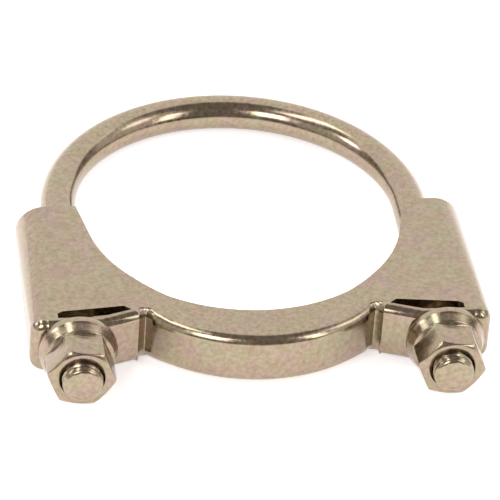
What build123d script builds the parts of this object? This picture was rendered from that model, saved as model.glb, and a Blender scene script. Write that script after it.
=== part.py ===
# Exhaust clamp, U-bolt and saddle type, for a 3 inch pipe.
# Millimetres. The origin is on the pipe's axis, half way up the saddle's height.
# +Z is the pipe's axis, +Y points from the saddle to the U-bolt's crown.
import os
from math import asin, cos, radians, sin, sqrt, tan

from build123d import *

# Pipe and U-bolt
pipe_radius = 38.1
crown_clearance = 0.795
rod_diameter = 8.46
thread_diameter = 9.525
thread_length = 38.0
thread_runout = 0.9
thread_end_taper = 1.8
thread_end_diameter = 7.8
thread_showing = 2.6
crown_centre_y = 11.7

# Saddle, pressed from one sheet: the channel behind the pipe
sheet = 2.28
fold_inside_radius = 0.22
web_depth = 11.5
plate_step = 0.7

# Saddle: the plates and the ears round the legs
leg_to_plate = 0.11
leg_to_ear_side = 8.7
ear_back_y = 4.7
ear_ramp = 22.1
ear_front_corner = 3.0
ear_back_corner = 6.9
cutout_flare_angle = 11.4

# Saddle: the nut seats, strips of the web cut free of the plates above and below.
# Each point is given from the leg's axis towards the pipe, and from the seat's face backwards
seat_depth = 4.3
seat_fold_radius = 2.2
seat_land = 5.6
seat_crease = (14.4, 3.1)
seat_root = (14.7, 3.29)
web_end = (16.1, 4.2579)
valley_slope = 32.9
valley_width = 5.5
valley_round = 2.0
plate_edge = 3.4
slot_inner = (11.1, 6.4)
slot_outer = (-3.5, 4.8)
slot_end = (-4.6, 4.0)
slot_corner = 0.8

# Flange nuts
nut_across_flats = 14.29
nut_height = 12.0
nut_turn = -8.0
hex_start = 3.9
hex_face_diameter = 13.7
hex_chamfer_angle = 30.0
flange_diameter = 18.4
flange_rim = 1.6
flange_bevel = 0.4
flange_neck_start = (8.1, 2.3)
flange_neck_diameter = 14.2
nut_mouth = 0.6

# Running clearances, on the radius
thread_clearance = 0.05
leg_hole_clearance = 0.2

# Worked out from the sizes above
rod_radius = rod_diameter / 2
thread_radius = thread_diameter / 2
leg_x = pipe_radius + crown_clearance + rod_radius
seat_y = -pipe_radius - seat_depth
seat_back_y = seat_y + sheet
leg_end_y = seat_y - nut_height - thread_showing
ear_half_height = thread_radius + leg_to_plate + sheet
ear_outer_x = leg_x + leg_to_ear_side + sheet
channel_half_height = ear_half_height - plate_step
fold_radius = sheet + fold_inside_radius

crease_x = leg_x - seat_crease[0]


def at_seat(place):
    """A place given from the leg's axis and the seat's face, as X and Y on the right-hand side."""
    inwards, backwards = place
    return (leg_x - inwards, seat_y + backwards)


# U-bolt: one bent rod, with a rolled thread on each leg that stands proud of the rod
thread_start_y = leg_end_y + thread_length
taper_start_y = leg_end_y + thread_end_taper

with BuildPart() as u_bolt:
    with BuildLine() as bend:
        Line((leg_x, taper_start_y), (leg_x, crown_centre_y))
        CenterArc((0, crown_centre_y), leg_x, 0, 180)
        Line((-leg_x, crown_centre_y), (-leg_x, taper_start_y))
    with BuildSketch(Plane(origin=(leg_x, taper_start_y, 0), z_dir=(0, 1, 0))):
        Circle(rod_radius)
    sweep(path=bend.wire())
    with BuildSketch(Plane.XY):
        with BuildLine():
            Polyline(
                (leg_x, leg_end_y),
                (leg_x + thread_end_diameter / 2, leg_end_y),
                (leg_x + thread_radius, taper_start_y),
                (leg_x + thread_radius, thread_start_y - thread_runout),
                (leg_x + rod_radius, thread_start_y),
                (leg_x, thread_start_y),
                close=True,
            )
        make_face()
    revolve(axis=Axis((leg_x, 0, 0), (0, 1, 0)))
    mirror(about=Plane.YZ)


seat_end_x = at_seat(slot_end)[0] + sheet

# The web's arc runs through its foremost point, midway, and its two ends beside the seats
web_front_y = -pipe_radius - web_depth
web_rise = at_seat(web_end)[1] - web_front_y
web_radius = (at_seat(web_end)[0] ** 2 + web_rise**2) / (2 * web_rise)
web_centre_y = web_front_y + web_radius


def across_leg(y):
    """The plane square to the legs at a height y, with its own x along X and y along Z."""
    return Plane(origin=(0, y, 0), x_dir=(1, 0, 0), z_dir=(0, -1, 0))


def channel_outline(inset):
    """The channel seen along the pipe. Its front follows the web's arc, and beyond a valley on
    each side it comes forward again through the crease."""
    slope = radians(valley_slope)
    half_width = crease_x + fold_radius
    inner_x = half_width - valley_width
    line_y = seat_y + seat_crease[1] + inset / cos(slope)
    with BuildSketch(Plane.XY.offset(inset - channel_half_height)) as outline:
        with Locations((0, web_centre_y)):
            Circle(web_radius - inset)
        for side in (-1, 1):
            Polygon(
                (side * inner_x, line_y + (crease_x - inner_x) * tan(slope)),
                (side * half_width, line_y + (crease_x - half_width) * tan(slope)),
                (side * half_width, web_centre_y),
                (side * inner_x, web_centre_y),
                align=None,
            )
        fillet(outline.vertices().sort_by(Axis.Y)[2:4], radius=valley_round)
        with Locations((0, web_centre_y)):
            Rectangle(2 * half_width, 2 * web_radius, align=(Align.CENTER, Align.MAX), mode=Mode.INTERSECT)
    return outline.sketch


# Saddle, outer form of the channel, with the web folded over into the plates
with BuildPart() as channel_form:
    extrude(channel_outline(0), amount=2 * channel_half_height)
    rims = channel_form.faces().filter_by(Axis.Z).edges()
    fillet(rims.filter_by(lambda edge: edge.center().Y < -pipe_radius), radius=fold_radius)
    with BuildSketch(Plane.XY.offset(-channel_half_height)):
        with Locations((0, web_centre_y)):
            Rectangle(2 * crease_x, 2 * web_radius, align=(Align.CENTER, Align.MAX))
    extrude(amount=2 * channel_half_height, mode=Mode.INTERSECT)


def ear(front_y, inset):
    """The right ear's form, inset all round. Its two outer corners are cones, which lie against
    the plate and the side and open from the front corner's radius to the back corner's."""
    half_height = ear_half_height - inset
    outer_x = ear_outer_x - inset
    opening = (ear_back_corner - ear_front_corner) / (ear_back_y - seat_y)
    apex_y = seat_y - (ear_front_corner - inset) / opening
    slant = sqrt(1 + 2 * opening**2)
    cone_length = (ear_back_y - apex_y) * slant
    cone_radius = cone_length * tan(asin(opening / slant))
    with BuildPart() as corners:
        for side in (-1, 1):
            apex = (outer_x, apex_y, side * half_height)
            along = (-opening, 1, -side * opening)
            with BuildSketch(Plane(origin=apex, x_dir=along, z_dir=(0, -side * opening, -1))):
                Polygon((0, 0), (cone_length, 0), (cone_length, cone_radius), align=None)
            revolve(axis=Axis(apex, along))
        with BuildSketch(across_leg(front_y)):
            Rectangle(4 * ear_outer_x, 4 * ear_half_height)
        extrude(amount=front_y - ear_back_y, mode=Mode.INTERSECT)
    with BuildPart() as form:
        with BuildSketch(across_leg(front_y)):
            with Locations((crease_x, 0)):
                Rectangle(outer_x - crease_x, 2 * half_height, align=(Align.MIN, Align.CENTER))
        extrude(amount=front_y - ear_back_y)
        for side in (-1, 1):
            chamfer_plane = Plane(origin=(outer_x, apex_y, side * half_height), z_dir=(1, opening, side))
            split(bisect_by=chamfer_plane, keep=Keep.BOTTOM)
        add(corners)
    return form.part


def ramp(inset):
    """The channel's plates where they rise to the right ear, behind the fold."""
    low = channel_half_height - inset
    high = ear_half_height - inset
    ramp_x = leg_x - ear_ramp
    front_y = at_seat(seat_crease)[1] + fold_radius + inset
    with BuildPart() as form:
        with BuildSketch(across_leg(front_y)):
            Polygon((ramp_x, low), (crease_x, high), (crease_x, -high), (ramp_x, -low), align=None)
        extrude(amount=front_y - ear_back_y)
    return form.part


# Saddle, outer form of the right ear: nearly square in front, half round at the back
with BuildPart() as ear_form:
    add(ear(seat_y, 0))
    front = ear_form.faces().sort_by(Axis.Y)[0]
    fillet(front.edges().sort_by(Axis.X)[1:], radius=fold_radius)
    add(ramp(0))

# Saddle, the space inside the sheet: the ears', open at the back, and the channel's
with BuildPart() as hollow:
    add(ear(seat_back_y, sheet))
    back = hollow.faces().sort_by(Axis.Y)[-1]
    extrude(back, amount=sheet)
    add(ramp(sheet))
    mirror(about=Plane.YZ)
    extrude(channel_outline(sheet), amount=2 * (channel_half_height - sheet))


# Saddle, the nut seats: strips of the same sheet, folded back above and below as the plates
# were before the slots were cut
with BuildPart() as seats:
    with BuildSketch(Plane.XY.offset(-ear_half_height)):
        with BuildLine():
            Polyline(at_seat(seat_root), at_seat(seat_crease), at_seat((seat_land, 0)), (seat_end_x, seat_y))
            offset(amount=sheet, side=Side.LEFT, kind=Kind.INTERSECTION)
        make_face()
    extrude(amount=2 * ear_half_height)
    front_faces = seats.faces().filter_by(lambda face: face.normal_at().Y < -0.5)
    fillet(front_faces.edges().filter_by(Axis.Z, reverse=True), radius=seat_fold_radius)
    mirror(about=Plane.YZ)


# Saddle: the forms joined and hollowed, cut out for the pipe with straight sides that open
# backwards from the arc, slotted above and below each nut seat, and closed in front by the
# seats with their leg holes
mouth_depth = ear_back_y + sheet + pipe_radius * sin(radians(cutout_flare_angle))
mouth_half_width = pipe_radius * cos(radians(cutout_flare_angle)) + mouth_depth * tan(radians(cutout_flare_angle))
slot_front_y = seat_y - sheet

with BuildPart() as saddle:
    add(channel_form)
    add(ear_form)
    mirror(about=Plane.YZ)
    add(hollow, mode=Mode.SUBTRACT)

    with BuildSketch(Plane.XY.offset(-ear_half_height)):
        with BuildLine():
            cradle = CenterArc((0, 0), pipe_radius, cutout_flare_angle - 180, 180 - 2 * cutout_flare_angle)
            Line(cradle @ 1, (mouth_half_width, ear_back_y + sheet))
            Line((mouth_half_width, ear_back_y + sheet), (-mouth_half_width, ear_back_y + sheet))
            Line((-mouth_half_width, ear_back_y + sheet), cradle @ 0)
        make_face()
    extrude(amount=2 * ear_half_height, mode=Mode.SUBTRACT)

    with BuildSketch(Plane.XY.offset(-ear_half_height)) as slots:
        with BuildLine():
            Polyline(
                (crease_x, seat_y + plate_edge),
                at_seat(slot_inner),
                at_seat(slot_outer),
                at_seat(slot_end),
                (at_seat(slot_end)[0], slot_front_y),
                (crease_x, slot_front_y),
                close=True,
            )
        make_face()
        fillet(slots.vertices().sort_by(Axis.Y)[-2:], radius=slot_corner)
        mirror(about=Plane.YZ)
    extrude(amount=2 * ear_half_height, mode=Mode.SUBTRACT)

    add(seats)

    with BuildSketch(across_leg(seat_y)):
        with Locations((-leg_x, 0), (leg_x, 0)):
            Circle(thread_radius + leg_hole_clearance)
    extrude(amount=-sheet, mode=Mode.SUBTRACT)


# Flange nuts: hexagon and round flange in one piece, a flat of the hexagon nearly facing up
chamfer_height = nut_height - (flange_diameter - hex_face_diameter) / 2 * tan(radians(hex_chamfer_angle))

os.makedirs("parts", exist_ok=True)
for name, axis_x in (("flange_nut_left", -leg_x), ("flange_nut_right", leg_x)):
    profile_plane = Plane(origin=(axis_x, seat_y, 0), x_dir=(1, 0, 0), z_dir=(0, 0, -1))
    with BuildPart() as flange_nut:
        with BuildSketch(across_leg(seat_y)):
            with Locations((axis_x, 0)):
                RegularPolygon(nut_across_flats / 2, 6, major_radius=False, rotation=nut_turn)
        extrude(amount=nut_height)
        with BuildSketch(profile_plane):
            Polygon(
                (0, 0),
                (flange_diameter / 2, 0),
                (flange_diameter / 2, chamfer_height),
                (hex_face_diameter / 2, nut_height),
                (0, nut_height),
                align=None,
            )
        revolve(axis=Axis((axis_x, 0, 0), (0, 1, 0)), mode=Mode.INTERSECT)
        with BuildSketch(profile_plane):
            Polygon(
                (0, 0),
                (flange_diameter / 2, 0),
                (flange_diameter / 2, flange_rim),
                (flange_diameter / 2 - flange_bevel, flange_rim + flange_bevel),
                flange_neck_start,
                (flange_neck_diameter / 2, hex_start),
                (0, hex_start),
                align=None,
            )
        revolve(axis=Axis((axis_x, 0, 0), (0, 1, 0)))
        with BuildSketch(across_leg(seat_y)):
            with Locations((axis_x, 0)):
                Circle(thread_radius + thread_clearance)
        extrude(amount=nut_height, mode=Mode.SUBTRACT)
        front_rims = flange_nut.faces().sort_by(Axis.Y)[0].edges().filter_by(GeomType.CIRCLE)
        chamfer(front_rims.sort_by(SortBy.RADIUS)[0], length=nut_mouth)
    flange_nut.part.label = name
    export_step(flange_nut.part, f"parts/{name}.step")

u_bolt.part.label = "u_bolt"
export_step(u_bolt.part, "parts/u_bolt.step")
saddle.part.label = "saddle"
export_step(saddle.part, "parts/saddle.step")
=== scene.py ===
from math import atan, cos, pi, radians, sin, tan

import bmesh
import bpy
from mathutils import Matrix, Vector


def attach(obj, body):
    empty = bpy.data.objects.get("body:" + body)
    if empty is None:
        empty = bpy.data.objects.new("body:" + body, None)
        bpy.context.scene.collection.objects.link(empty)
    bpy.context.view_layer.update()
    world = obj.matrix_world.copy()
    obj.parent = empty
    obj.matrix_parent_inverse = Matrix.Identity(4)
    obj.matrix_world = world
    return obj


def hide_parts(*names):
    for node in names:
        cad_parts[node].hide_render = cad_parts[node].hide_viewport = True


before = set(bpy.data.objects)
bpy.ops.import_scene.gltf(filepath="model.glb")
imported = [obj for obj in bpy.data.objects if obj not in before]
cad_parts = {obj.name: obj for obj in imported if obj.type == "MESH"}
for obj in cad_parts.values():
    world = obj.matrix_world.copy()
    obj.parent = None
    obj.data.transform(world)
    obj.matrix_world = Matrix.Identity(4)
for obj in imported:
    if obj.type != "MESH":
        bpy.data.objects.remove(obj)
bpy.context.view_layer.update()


# U-bolt
# One length of drawn round bar, bent to a half circle with two straight legs. The threads
# are rolled, so they stand proud of the bar. Made as rings of points along the bar's line,
# and on the legs as rows that climb with the thread's helix.
leg_x = 0.043125
rod_radius = 0.00423
crown_centre_y = 0.0117
crown_steps = 96
bare_leg_steps = 8
points_round = 64
thread_end_y = -0.057
thread_start_y = -0.019
thread_pitch = 0.0015875
crest_radius = 0.0047625
root_radius = 0.00388

# The ridges begin a little inside the bar's end and reach their full depth further in. At the
# bare leg the whole thread sinks to the bar's thickness.
ridge_start = 0.0008
ridge_fade = 0.0018
thread_run_out = 0.0016

# The bar's end is rounded, and its radius grows with the root of the distance from the end
end_radius = 0.0038
end_curve = 0.0009

# One turn of the rolled profile, as (share of the pitch, share of the thread's depth)
thread_profile = (
    (0.00, 0.00), (0.09, 0.03), (0.15, 0.12), (0.27, 0.50), (0.39, 0.88),
    (0.45, 0.98), (0.50, 1.00), (0.55, 0.98), (0.61, 0.88), (0.73, 0.50), (0.85, 0.12), (0.91, 0.03),
)

# The end's face, sheared flat with a little dish, as (radius, depth)
end_face = ((end_radius, 0.0), (0.0036, -0.00008), (0.0028, 0.0), (0.0012, 0.00005))


def linear(hex_colour):
    """An sRGB hex colour as linear red, green, blue and alpha."""
    channels = [int(hex_colour[i:i + 2], 16) / 255 for i in (0, 2, 4)]
    return [c / 12.92 if c <= 0.04045 else ((c + 0.055) / 1.055) ** 2.4 for c in channels] + [1.0]


def add_node(material, kind, settings=None, stops=(), **inputs):
    """Adds a shader node with its settings and, for a colour ramp, its stops. An input goes by
    its label, or by _ and its number where labels repeat. A socket is linked, a value is set."""
    made = material.node_tree.nodes.new("ShaderNode" + kind)
    for key, value in (settings or {}).items():
        setattr(made, key, value)
    for i, (position, hex_colour) in enumerate(stops):
        elements = made.color_ramp.elements
        element = elements[i] if i < len(elements) else elements.new(position)
        element.position = position
        element.color = linear(hex_colour)
    for key, value in inputs.items():
        socket = made.inputs[int(key[1:])] if key[1:].isdigit() else made.inputs[key.replace("_", " ")]
        if isinstance(value, bpy.types.NodeSocket):
            material.node_tree.links.new(value, socket)
        else:
            socket.default_value = value
    return made


# Every piece is mild steel with a bright zinc plating and a thin yellow passivate over it.
# The film has no even thickness, so its tan drifts to pink and to pale green, and it dulls
# the metal to a satin. Only the metal below differs: drawn bar, rolled sheet or forged nut.
patch_size = 0.00625
mottle_size = 0.01 / 9
# How far the painted shade in corners looks for nearby surfaces
painted_shade_reach = 0.003

# The metal's true grain is too fine to show, so it is drawn 0.4 mm wide
grain_size = 0.0004


def plated_steel(name, roughness, grain_stretch, grain_depth):
    """Yellow zinc plating over a metal whose grain is drawn out by grain_stretch along X, Y and Z."""
    material = bpy.data.materials.new(name)
    material.use_nodes = True
    material.node_tree.nodes.clear()
    place = add_node(material, "TexCoord").outputs["Object"]

    # The passivate's colour drifts in patches and is mottled within them
    patches = add_node(
        material, "TexNoise", Vector=place, Scale=1 / patch_size, Detail=4.0, Roughness=0.6,
    )
    drift = add_node(
        material, "ValToRGB", Fac=patches.outputs["Fac"],
        stops=((0.30, "9f9a84"), (0.45, "a2967f"), (0.55, "a59483"), (0.72, "a29087")),
    )
    mottle = add_node(
        material, "TexNoise", Vector=place, Scale=1 / mottle_size, Detail=4.0, Roughness=0.65,
    )
    speckle = add_node(
        material, "ValToRGB", Fac=mottle.outputs["Fac"], stops=((0.30, "cfc6b8"), (0.62, "ffffff")),
    )
    film = add_node(
        material, "Mix", {"data_type": "RGBA", "blend_type": "MULTIPLY"},
        _0=0.7, _6=drift.outputs["Color"], _7=speckle.outputs["Color"],
    )

    # Painted shade: in narrow corners and creases the colour is darkened towards a brown-grey, the more
    # the nearer surfaces hem it in
    depth = add_node(material, "AmbientOcclusion", {"samples": 8}, Distance=painted_shade_reach)
    painted_corner_shade = add_node(
        material, "ValToRGB", Fac=depth.outputs["AO"], stops=((0.15, "857c72"), (0.7, "ffffff")),
    )
    colour = add_node(
        material, "Mix", {"data_type": "RGBA", "blend_type": "MULTIPLY"},
        _0=1.0, _6=film.outputs[2], _7=painted_corner_shade.outputs["Color"],
    )

    # The metal's grain below the plating, and how it spreads a reflection
    stretched = add_node(material, "Mapping", Vector=place, Scale=grain_stretch)
    grain = add_node(
        material, "TexNoise",
        Vector=stretched.outputs["Vector"], Scale=1 / grain_size, Detail=3.0, Roughness=0.6,
    )
    satin = add_node(
        material, "MapRange", Value=mottle.outputs["Fac"],
        From_Min=0.3, From_Max=0.7, To_Min=roughness - 0.05, To_Max=roughness + 0.08,
    )
    relief = add_node(
        material, "Bump", Height=grain.outputs["Fac"], Strength=0.5, Distance=grain_depth,
    )

    metal = add_node(
        material, "BsdfPrincipled", Base_Color=colour.outputs[2], Metallic=1.0,
        Roughness=satin.outputs["Result"], Normal=relief.outputs["Normal"],
    )
    add_node(material, "OutputMaterial", Surface=metal.outputs["BSDF"])
    return material


# Drawn bar is the smoothest of the three, with a grain along its legs
drawn_rod = plated_steel("yellow_zinc_on_drawn_rod", 0.17, (1.0, 0.25, 1.0), 0.00002)


def finish_piece(name, mesh, body, node, material, sharp_angle):
    """Puts a bmesh in the scene as the piece that stands for a CAD node and rides on its body."""
    bmesh.ops.remove_doubles(mesh, verts=mesh.verts, dist=2e-6)
    bmesh.ops.dissolve_degenerate(mesh, edges=mesh.edges, dist=1e-6)
    bmesh.ops.recalc_face_normals(mesh, faces=mesh.faces)
    data = bpy.data.meshes.new(name)
    mesh.to_mesh(data)
    mesh.free()
    data.polygons.foreach_set("use_smooth", [True] * len(data.polygons))
    data.set_sharp_from_angle(angle=radians(sharp_angle))
    data.materials.append(material)
    piece = bpy.data.objects.new(name, data)
    bpy.context.scene.collection.objects.link(piece)
    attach(piece, body)
    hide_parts(node)
    return piece


def add_grid(mesh, rows, close_rows=False):
    """Joins rows of points, each running once round an axis, with quads."""
    made = [[mesh.verts.new(point) for point in row] for row in rows]
    pairs = list(zip(made, made[1:])) + ([(made[-1], made[0])] if close_rows else [])
    for low, high in pairs:
        for i in range(len(low)):
            j = (i + 1) % len(low)
            mesh.faces.new((low[i], low[j], high[j], high[i]))


u_bolt_mesh = bmesh.new()
turns = int((thread_start_y - thread_end_y) / thread_pitch) + 2
low_row = thread_end_y - thread_pitch
for side in (-1, 1):
    columns = []
    for i in range(points_round + 1):
        share = i / points_round
        angle = 2 * pi * share
        column = []
        for turn in range(turns + 1):
            for along, height in thread_profile:
                y = low_row + (turn + along + share) * thread_pitch
                y = min(max(y, thread_end_y), thread_start_y)
                fade = min(1.0, max(0.0, (y - thread_end_y - ridge_start) / ridge_fade))
                radius = crest_radius - fade * (1 - height) * (crest_radius - root_radius)
                rise = min(1.0, (thread_start_y - y) / thread_run_out)
                radius = rod_radius + rise * (radius - rod_radius)
                radius = min(radius, end_radius + (end_curve * (y - thread_end_y)) ** 0.5)
                x = side * (leg_x + radius * sin(angle))
                column.append(u_bolt_mesh.verts.new((x, y, radius * cos(angle))))
        columns.append(column)
    for left, right in zip(columns, columns[1:]):
        for i in range(len(left) - 1):
            corners = (left[i], right[i], right[i + 1], left[i + 1])
            if len({round(v.co.y, 7) for v in corners}) > 1:
                u_bolt_mesh.faces.new(corners)
    end_rings = [
        [
            (side * (leg_x + radius * sin(2 * pi * i / points_round)), thread_end_y + depth,
             radius * cos(2 * pi * i / points_round))
            for i in range(points_round)
        ]
        for radius, depth in end_face
    ]
    add_grid(u_bolt_mesh, end_rings)
    u_bolt_mesh.faces.new([u_bolt_mesh.verts.new(point) for point in end_rings[-1]])

# The bare bar, from one leg's thread round the crown to the other's, as (x, y, turn)
bare_leg = crown_centre_y - thread_start_y
bar_line = [
    (leg_x, thread_start_y + bare_leg * i / bare_leg_steps, 0.0) for i in range(bare_leg_steps)
]
crown_turns = [pi * i / crown_steps for i in range(crown_steps + 1)]
bar_line += [(leg_x * cos(turn), crown_centre_y + leg_x * sin(turn), turn) for turn in crown_turns]
bar_line += [
    (-leg_x, crown_centre_y - bare_leg * i / bare_leg_steps, pi) for i in range(1, bare_leg_steps + 1)
]
bar_rings = []
for x, y, turn in bar_line:
    bar_rings.append([
        (x + rod_radius * sin(2 * pi * i / points_round) * cos(turn),
         y + rod_radius * sin(2 * pi * i / points_round) * sin(turn),
         rod_radius * cos(2 * pi * i / points_round))
        for i in range(points_round)
    ])
add_grid(u_bolt_mesh, bar_rings)
finish_piece("u_bolt_rod", u_bolt_mesh, "u_bolt", "u_bolt", drawn_rod, 60)


# Flange nuts
# Forged steel nuts, hexagon and round flange in one piece, the hexagon's corners worn round
# and cut by a 30 degree chamfer in front. Made as rings of points round the nut's axis, whose
# distance from it follows the hexagon where that stands out of the collar on the flange.
seat_y = -0.0424
nut_height = 0.012
across_flats = 0.01429
corner_round = 0.0009
nut_turn = radians(8)
chamfer_slope = tan(radians(30))
face_radius = 0.00685
bore_radius = 0.0048125
bore_chamfer = 0.0003
flange_radius = 0.0092
collar_radius = 0.00815
collar_height = 0.0043
collar_steps = 6
hexagon_start = collar_height + 0.0012
hexagon_middle = 0.008

# The flange's rim with both edges soft, as (distance inside its radius, height above the seat)
rim = ((0.0003, 0.0), (0.00008, 0.00006), (0.0, 0.0003), (0.0, 0.0016), (0.00007, 0.0018), (0.0002, 0.002))

# How the collar steps in to the hexagon's side, as shares of the distance between them
shoulder = ((0.12, 0.06), (0.4, 0.22), (0.7, 0.4), (0.93, 0.58), (1.0, 0.9))

# Where the side meets the chamfer, as (distance inside the side, distance in front of the cut)
chamfer_edge = ((0.0, -0.0003), (0.00006, -0.00005), (0.00025, 0.00025 * chamfer_slope))

# The front face and the bore's mouth, as (radius, distance behind the face)
front_face = (
    (face_radius + 0.0001, 0.00006), (face_radius - 0.0001, 0.0),
    (bore_radius + 0.00055, 0.0), (bore_radius + 0.00042, 0.00006), (bore_radius, 0.0006),
)

# Degrees over one sixth of the nut, close together where its corner is round
sixth = (0, 6, 12, 17, 20, 22, 23.5, 25, 26.5, 28, 29, 30, 31, 32, 33.5, 35, 36.5, 38, 40, 43, 48, 54)
nut_angles = [radians(60 * k + degrees) + nut_turn for k in range(6) for degrees in sixth]

# A forging has the roughest skin of the three, and its grain has no direction
forged_nut = plated_steel("yellow_zinc_on_forged_nut", 0.20, (1.0, 1.0, 1.0), 0.00003)


def hexagon_radius(angle):
    """How far the hexagon's side is from the axis, with its corners rounded."""
    off_corner = abs((angle - nut_turn) % (pi / 3) - pi / 6)
    side = across_flats / 2
    centre = (side - corner_round) / cos(pi / 6)
    if centre * sin(off_corner) > corner_round / 2:
        return side / cos(pi / 6 - off_corner)
    return centre * cos(off_corner) + (corner_round ** 2 - (centre * sin(off_corner)) ** 2) ** 0.5


for name, side in (("left", -1), ("right", 1)):
    rows = []
    for angle in nut_angles:
        edge = hexagon_radius(angle)
        step_in = collar_radius - edge
        cut_height = nut_height - (edge - face_radius) * chamfer_slope
        row = [(bore_radius, bore_chamfer), (bore_radius + bore_chamfer, 0.0)]
        row += [(flange_radius - inside, height) for inside, height in rim]
        cone_radius, cone_height = row[-1]
        row += [
            (cone_radius - (cone_radius - collar_radius) * k / collar_steps,
             cone_height + (collar_height - cone_height) * k / collar_steps)
            for k in range(1, collar_steps + 1)
        ]
        row += [
            (collar_radius - step_in * inwards, collar_height + step_in * forwards)
            for inwards, forwards in shoulder
        ]
        row += [(edge, hexagon_start), (edge, hexagon_middle)]
        row += [(edge - inside, cut_height + forwards) for inside, forwards in chamfer_edge]
        row += [(radius, nut_height - behind) for radius, behind in front_face]
        rows.append(row)
    nut_mesh = bmesh.new()
    add_grid(nut_mesh, [
        [
            (side * leg_x + row[step][0] * sin(angle), seat_y - row[step][1], row[step][0] * cos(angle))
            for row, angle in zip(rows, nut_angles)
        ]
        for step in range(len(rows[0]))
    ], close_rows=True)
    finish_piece(
        "flange_nut_" + name + "_forging", nut_mesh, name + "_nut", "flange_nut_" + name,
        forged_nut, 50,
    )


# Saddle
# One blank of steel sheet, folded to a channel with an ear round each leg, cut free above and
# below the two nut seats. Made from the CAD piece's own faces, with the fold lifted along the
# ramp, the valley beside each seat deepened and the sheared edges rounded by a bevel.
crease_x = leg_x - 0.0144
ramp_x = leg_x - 0.0221
ramp_rise = 0.0007
fold_back_y = -0.0367
fold_start_z = 0.0039525
plate_z = 0.0064525

# Limits a little past the crease and the plate, so that the points on them are taken in
fold_end_x = crease_x + 0.00002
fold_end_z = plate_z + 0.00001
corner_end_x = crease_x + 0.0001

# The valley beside each seat: its line, half its width, and how far it is pressed back
valley_x = 0.027
valley_reach = 0.0017
valley_press = 0.0009
valley_back_y = -0.0365
valley_fade = 0.0015
valley_cuts = (0.0253, 0.0262, 0.0267, valley_x, 0.0273, 0.0278)

# The plate's outer corner at the crease, and how far it is pushed back and down
corner_back_y = -0.0389
corner_low_z = 0.0071
corner_push = 0.0005
corner_drop = 0.00008

# How near to the crease an edge stays sharp, and the rounding of the others
crease_reach = 0.0025
crease_back_y = -0.033
sheared_angle = radians(35)
sheared_round = 0.00025

# Rolled sheet has its grain across the clamp
pressed_sheet = plated_steel("yellow_zinc_on_pressed_sheet", 0.19, (0.35, 1.0, 1.0), 0.00002)

saddle_mesh = bmesh.new()
saddle_mesh.from_mesh(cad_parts["saddle"].data)
bmesh.ops.remove_doubles(saddle_mesh, verts=saddle_mesh.verts, dist=3e-5)
bmesh.ops.dissolve_limit(
    saddle_mesh, angle_limit=radians(0.2), verts=saddle_mesh.verts, edges=saddle_mesh.edges,
)
for side in (-1, 1):
    for cut_x in (ramp_x, *valley_cuts):
        bmesh.ops.bisect_plane(
            saddle_mesh, geom=saddle_mesh.verts[:] + saddle_mesh.edges[:] + saddle_mesh.faces[:],
            plane_co=(side * cut_x, 0, 0), plane_no=(1, 0, 0),
        )
bmesh.ops.join_triangles(
    saddle_mesh, faces=saddle_mesh.faces, angle_face_threshold=radians(20),
    angle_shape_threshold=radians(60),
)

for vert in saddle_mesh.verts:
    x, y, z = vert.co
    upwards = 1 if z > 0 else -1
    # The fold rises with the plate behind it, where the plate ramps up to the ear
    on_ramp = ramp_x < abs(x) < fold_end_x
    on_fold = y < fold_back_y and fold_start_z < abs(z) < fold_end_z
    if on_ramp and on_fold:
        share = (abs(z) - fold_start_z) / (plate_z - fold_start_z)
        vert.co.z += upwards * (share * ramp_rise * (abs(x) - ramp_x) / (crease_x - ramp_x))
    # The valley beside the seat is pressed in sharply
    in_valley = max(0.0, 1 - abs(abs(x) - valley_x) / valley_reach)
    vert.co.y += valley_press * in_valley * min(1.0, max(0.0, (valley_back_y - y) / valley_fade))
    # The plate's corner at the crease is folded down with the seat
    if abs(x) < corner_end_x and y < corner_back_y and abs(z) > corner_low_z:
        vert.co.y += corner_push
        vert.co.z -= upwards * corner_drop
bmesh.ops.remove_doubles(saddle_mesh, verts=saddle_mesh.verts, dist=1e-5)
bmesh.ops.dissolve_degenerate(saddle_mesh, edges=saddle_mesh.edges, dist=1e-5)

sheared = saddle_mesh.edges.layers.float.new("bevel_weight_edge")
for edge in saddle_mesh.edges:
    middle = (edge.verts[0].co + edge.verts[1].co) / 2
    at_crease = abs(abs(middle.x) - crease_x) < crease_reach and middle.y < crease_back_y
    if edge.is_manifold and edge.calc_face_angle() > sheared_angle and not at_crease:
        edge[sheared] = 1.0
saddle = finish_piece(
    "saddle_pressing", saddle_mesh, "saddle", "saddle", pressed_sheet, 35,
)
edge_round = saddle.modifiers.new("sheared_edges", "BEVEL")
edge_round.width = sheared_round
edge_round.segments = 2
edge_round.limit_method = "WEIGHT"
even_faces = saddle.modifiers.new("even_faces", "WEIGHTED_NORMAL")
even_faces.keep_sharp = True


# Floor
# A plain white table that glows a little, so that it stays white and takes hardly any
# shadow. The clamp rests on it with both nut flanges and with the ears' back ends.
floor_reach = 1.5
ear_back_y = 0.0047
ear_bottom_z = -0.00715
front_rest = Vector((0, seat_y, -flange_radius))
back_rest = Vector((0, ear_back_y, ear_bottom_z))
lean = atan((back_rest.z - front_rest.z) / (back_rest.y - front_rest.y))
paper = bpy.data.materials.new("white_paper")
paper.use_nodes = True
paper.node_tree.nodes.clear()
white = add_node(
    paper, "BsdfPrincipled", Base_Color=linear("f7f7f6"), Roughness=0.9,
    Emission_Color=linear("fffafb"), Emission_Strength=0.60,
)
add_node(paper, "OutputMaterial", Surface=white.outputs["BSDF"])
floor_mesh = bpy.data.meshes.new("floor")
floor_corners = [
    (x * floor_reach, y * floor_reach, 0) for x, y in ((-1, -1), (1, -1), (1, 1), (-1, 1))
]
floor_mesh.from_pydata(floor_corners, [], [(0, 1, 2, 3)])
floor_mesh.materials.append(paper)
floor = bpy.data.objects.new("floor", floor_mesh)
floor.matrix_world = Matrix.Translation(front_rest) @ Matrix.Rotation(lean, 4, "X")
bpy.context.scene.collection.objects.link(floor)


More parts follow.
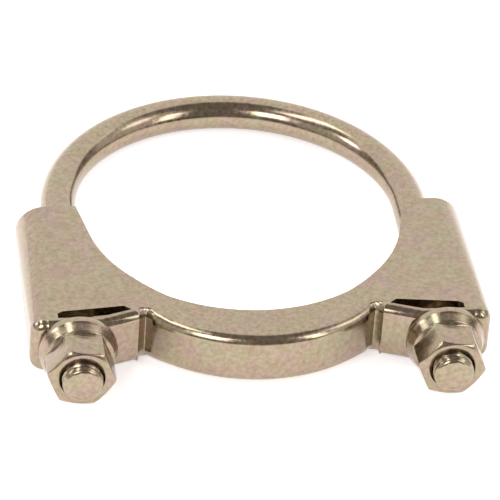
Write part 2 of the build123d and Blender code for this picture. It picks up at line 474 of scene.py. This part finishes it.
# Light
# A wide, even light behind the clamp, a strip overhead, and on the left and on the right a
# faint sweep with two soft boxes. Between them the room is dim, which the bar's upper side
# mirrors as a dark band.
room = bpy.data.worlds.new("room")
room.use_nodes = True
room_light = room.node_tree.nodes["Background"]
room_light.inputs["Color"].default_value = linear("e6dcd6")
room_light.inputs["Strength"].default_value = 0.37
bpy.context.scene.world = room


def soft_box(name, azimuth, elevation, distance, width, height, radiance):
    """An area light of even brightness that faces the clamp. Angles are in degrees, and azimuth 0
    is on the nuts' side."""
    light = bpy.data.lights.new(name, "AREA")
    light.shape = "RECTANGLE"
    light.size = width
    light.size_y = height
    light.energy = radiance * pi * width * height
    lamp = bpy.data.objects.new(name, light)
    az, el = radians(azimuth), radians(elevation)
    towards = Vector((sin(az) * cos(el), -cos(az) * cos(el), sin(el)))
    lamp.location = towards * distance
    lamp.rotation_euler = towards.to_track_quat("Z", "Y").to_euler()
    lamp.visible_camera = False
    bpy.context.scene.collection.objects.link(lamp)


soft_box("left_box", -31, 35, 0.9, 0.32, 0.42, 6.5)
soft_box("left_side_box", -95, 31, 0.9, 0.19, 0.22, 7.0)
soft_box("left_side_sweep", -72, 17, 1.2, 1.2, 1.0, 0.45)
soft_box("overhead_strip", -92, 66, 1.0, 0.6, 0.2, 5.0)
soft_box("right_box", 43, 28, 0.9, 0.16, 0.5, 5.0)
soft_box("right_side_box", 75, 40, 0.9, 0.24, 0.28, 2.5)
soft_box("right_side_sweep", 75, 28, 1.2, 1.3, 1.4, 0.6)
soft_box("back_sweep", 180, 38, 1.3, 4.0, 2.0, 1.12)


# Camera
# Where the photograph was taken from, found from the outline of the nuts, rod and saddle.
# It looks at a point just in front of the pipe's axis.
azimuth, elevation, roll = radians(-9.415), radians(35.429), radians(4.1)
aim = Vector((0.001707, -0.005209, 0))
camera_distance = 0.972111
focal_length_px = 4043.343
picture_width_px = 500
back = Vector((sin(azimuth) * cos(elevation), -cos(azimuth) * cos(elevation), sin(elevation)))
level_right = Vector((cos(azimuth), sin(azimuth), 0))
level_up = back.cross(level_right)
right = level_right * cos(roll) + level_up * sin(roll)
up = level_up * cos(roll) - level_right * sin(roll)
camera_data = bpy.data.cameras.new("camera")
camera_data.sensor_width = 36.0
camera_data.lens = focal_length_px / picture_width_px * camera_data.sensor_width
camera_data.clip_start = 0.05
camera_data.clip_end = 20.0
camera = bpy.data.objects.new("camera", camera_data)
camera_turn = Matrix((right, up, back)).transposed().to_4x4()
camera.matrix_world = Matrix.Translation(aim + back * camera_distance) @ camera_turn
bpy.context.scene.collection.objects.link(camera)
bpy.context.scene.camera = camera
bpy.context.scene.view_settings.view_transform = "Standard"
